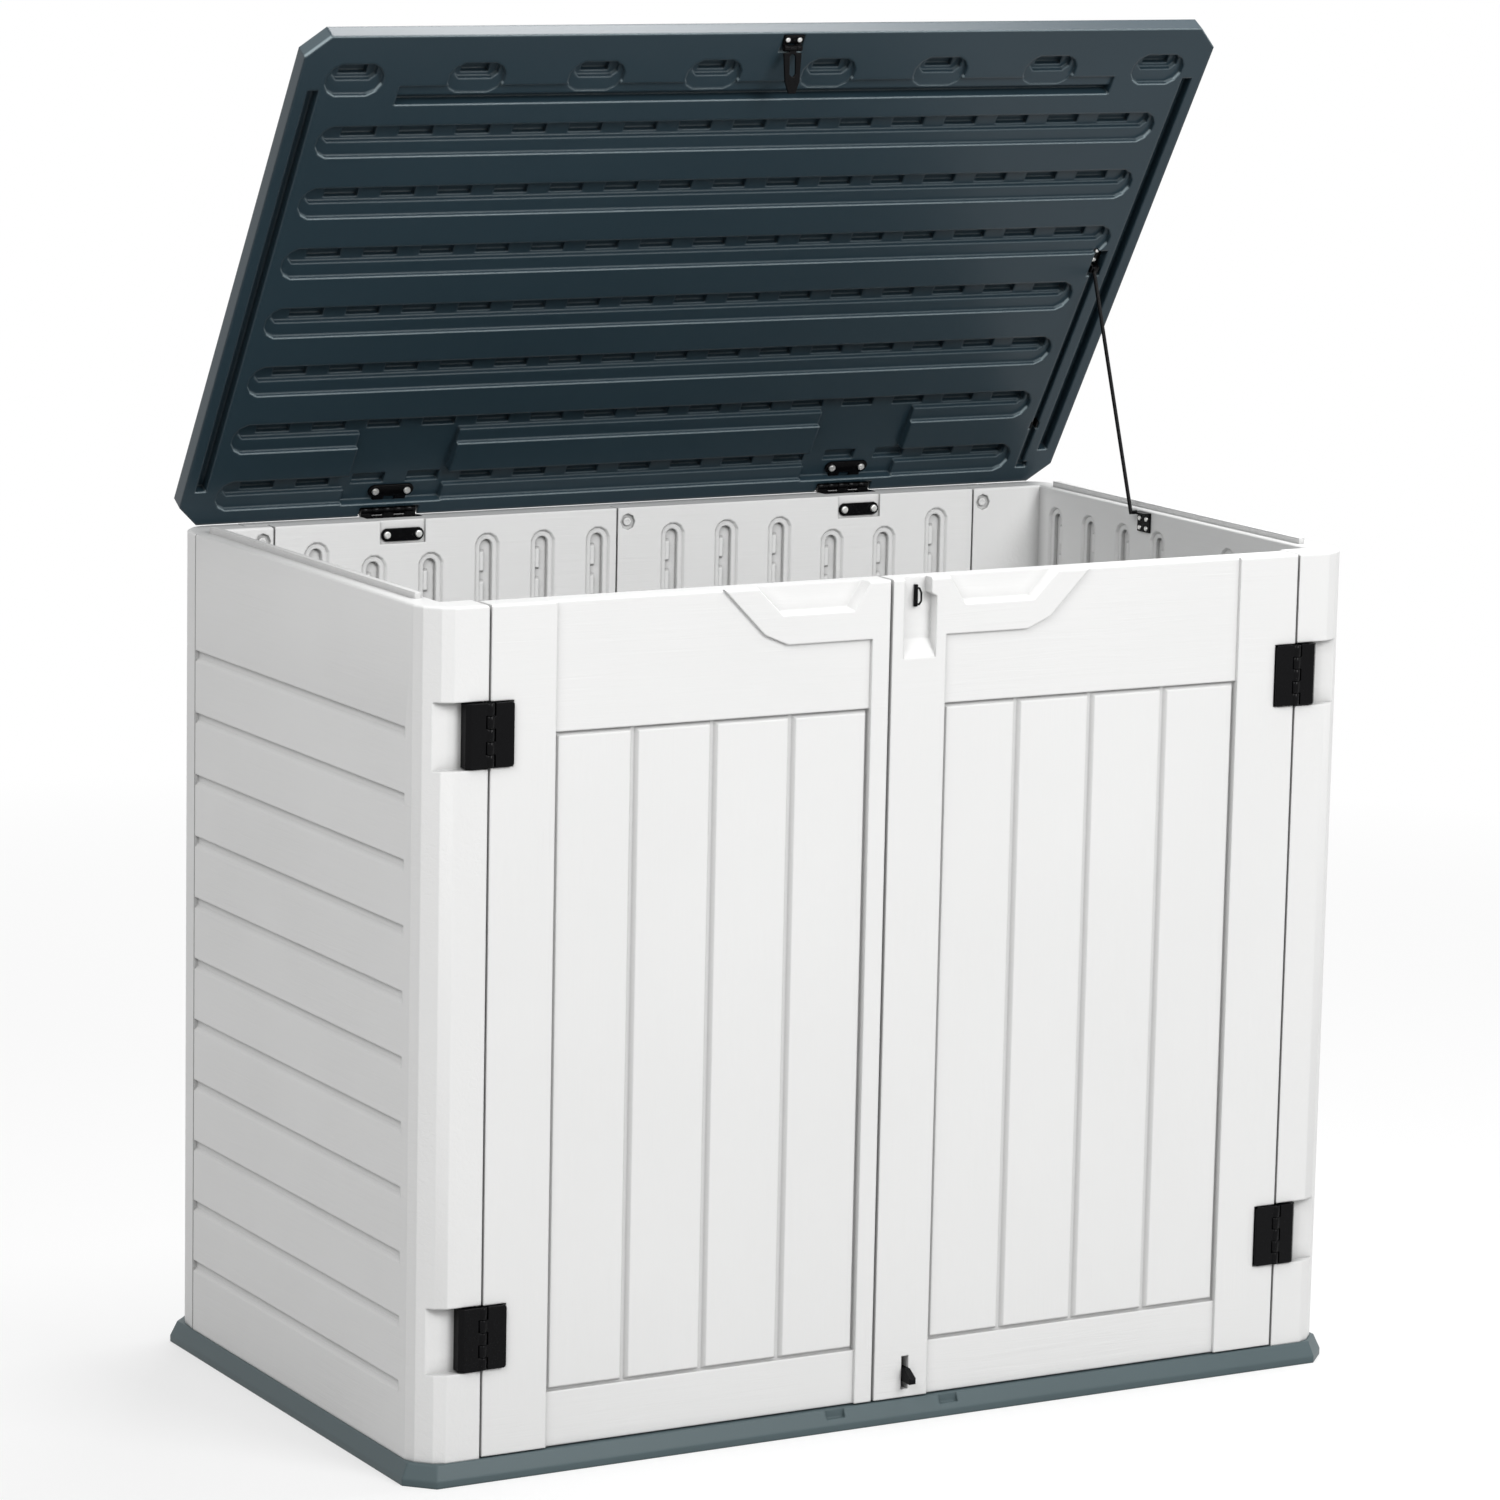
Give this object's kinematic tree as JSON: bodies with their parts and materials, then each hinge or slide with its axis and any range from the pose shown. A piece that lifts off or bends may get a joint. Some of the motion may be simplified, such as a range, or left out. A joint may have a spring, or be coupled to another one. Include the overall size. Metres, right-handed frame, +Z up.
{
  "type": "garden storage cabinet",
  "caption": "Free-standing moulded plastic garden storage cabinet with a pair of hinged front doors, a floor tray and a ribbed top lid held open by a folding prop rod.",
  "frame": {"origin": "centre of the floor tray's underside, on the ground", "axes": "+X to the right when facing the doors, +Y from the doors to the rear wall, +Z up"},
  "size_m": [1.27, 0.741, 1.6376],
  "materials": {
    "white_plastic": "white moulded polyethylene with an embossed wood grain",
    "slate_plastic": "dark slate moulded polyethylene",
    "black_metal": "black coated hinge and bracket steel",
    "black_plastic": "black moulded nylon",
    "zinc_steel": "bright zinc-plated steel"
  },
  "bodies": {
    "cabinet": {"base_floor": "slate_plastic", "left_side_panel": "white_plastic", "right_side_panel": "white_plastic", "rear_left_panel": "white_plastic", "rear_right_panel": "white_plastic", "seam_screws": "white_plastic", "left_lower_hinge_post_leaf": "black_metal", "left_upper_hinge_post_leaf": "black_metal", "right_lower_hinge_post_leaf": "black_metal", "right_upper_hinge_post_leaf": "black_metal", "left_hinge_pins": "black_metal", "right_hinge_pins": "black_metal", "left_post_hinge_plates": "black_metal", "right_post_hinge_plates": "black_metal", "left_post_hinge_screws": "zinc_steel", "right_post_hinge_screws": "zinc_steel", "left_lid_hinge_wall_leaf": "black_metal", "right_lid_hinge_wall_leaf": "black_metal", "lid_hinge_pins": "black_metal", "lid_hinge_wall_plates": "black_metal", "lid_hinge_wall_screws": "zinc_steel", "prop_wall_bracket": "black_metal", "prop_wall_screws": "zinc_steel"},
    "left_door": {"left_door": "white_plastic", "left_lower_hinge_door_leaf": "black_metal", "left_upper_hinge_door_leaf": "black_metal", "left_door_hinge_plates": "black_metal", "left_door_hinge_screws": "zinc_steel"},
    "right_door": {"right_door": "white_plastic", "right_lower_hinge_door_leaf": "black_metal", "right_upper_hinge_door_leaf": "black_metal", "right_door_hinge_plates": "black_metal", "right_door_hinge_screws": "zinc_steel", "staple": "black_metal", "staple_screws": "zinc_steel"},
    "lid": {"lid": "slate_plastic", "left_lid_hinge_lid_leaf": "black_metal", "right_lid_hinge_lid_leaf": "black_metal", "lid_hinge_lid_screws": "zinc_steel", "hasp_plate": "black_metal", "hasp_pin": "black_metal", "hasp_screws": "zinc_steel", "prop_lid_bracket": "black_metal", "prop_pin": "black_metal", "prop_bracket_screws": "zinc_steel", "prop_clip": "black_plastic"},
    "hasp_strap": {"hasp_strap": "black_metal"},
    "prop_rod": {"prop_rod": "black_metal"},
    "door_bolt": {"door_bolt": "black_plastic"}
  },
  "joints": [
    {"name": "left_door_hinge", "type": "hinge", "parent": "cabinet", "child": "left_door", "pos_m": [-0.5455, -0.3498, 0.5], "axis": [0, 0, -1], "range_deg": [0, 110]},
    {"name": "right_door_hinge", "type": "hinge", "parent": "cabinet", "child": "right_door", "pos_m": [0.5455, -0.3498, 0.5], "axis": [0, 0, 1], "range_deg": [0, 110]},
    {"name": "lid_hinge", "type": "hinge", "parent": "cabinet", "child": "lid", "pos_m": [0, 0.354, 1.022], "axis": [1, 0, 0], "range_deg": [-28, 58.2]},
    {"name": "hasp_hinge", "type": "hinge", "parent": "lid", "child": "hasp_strap", "pos_m": [0.014, -0.01946, 1.6082], "axis": [1, 0, 0], "range_deg": [-60, 30]},
    {"name": "prop_fold", "type": "hinge", "parent": "lid", "child": "prop_rod", "pos_m": [0.573, 0.17208, 1.31161], "axis": [1, 0, 0], "range_deg": [0, 51.07]},
    {"name": "bolt_slide", "type": "slide", "parent": "right_door", "child": "door_bolt", "axis": [0, 0, 1], "range_m": [-0.01, 0.014]}
  ],
  "couplings": [
    {"joint": "hasp_hinge", "follows": "lid_hinge", "ratio": -1}
  ]
}
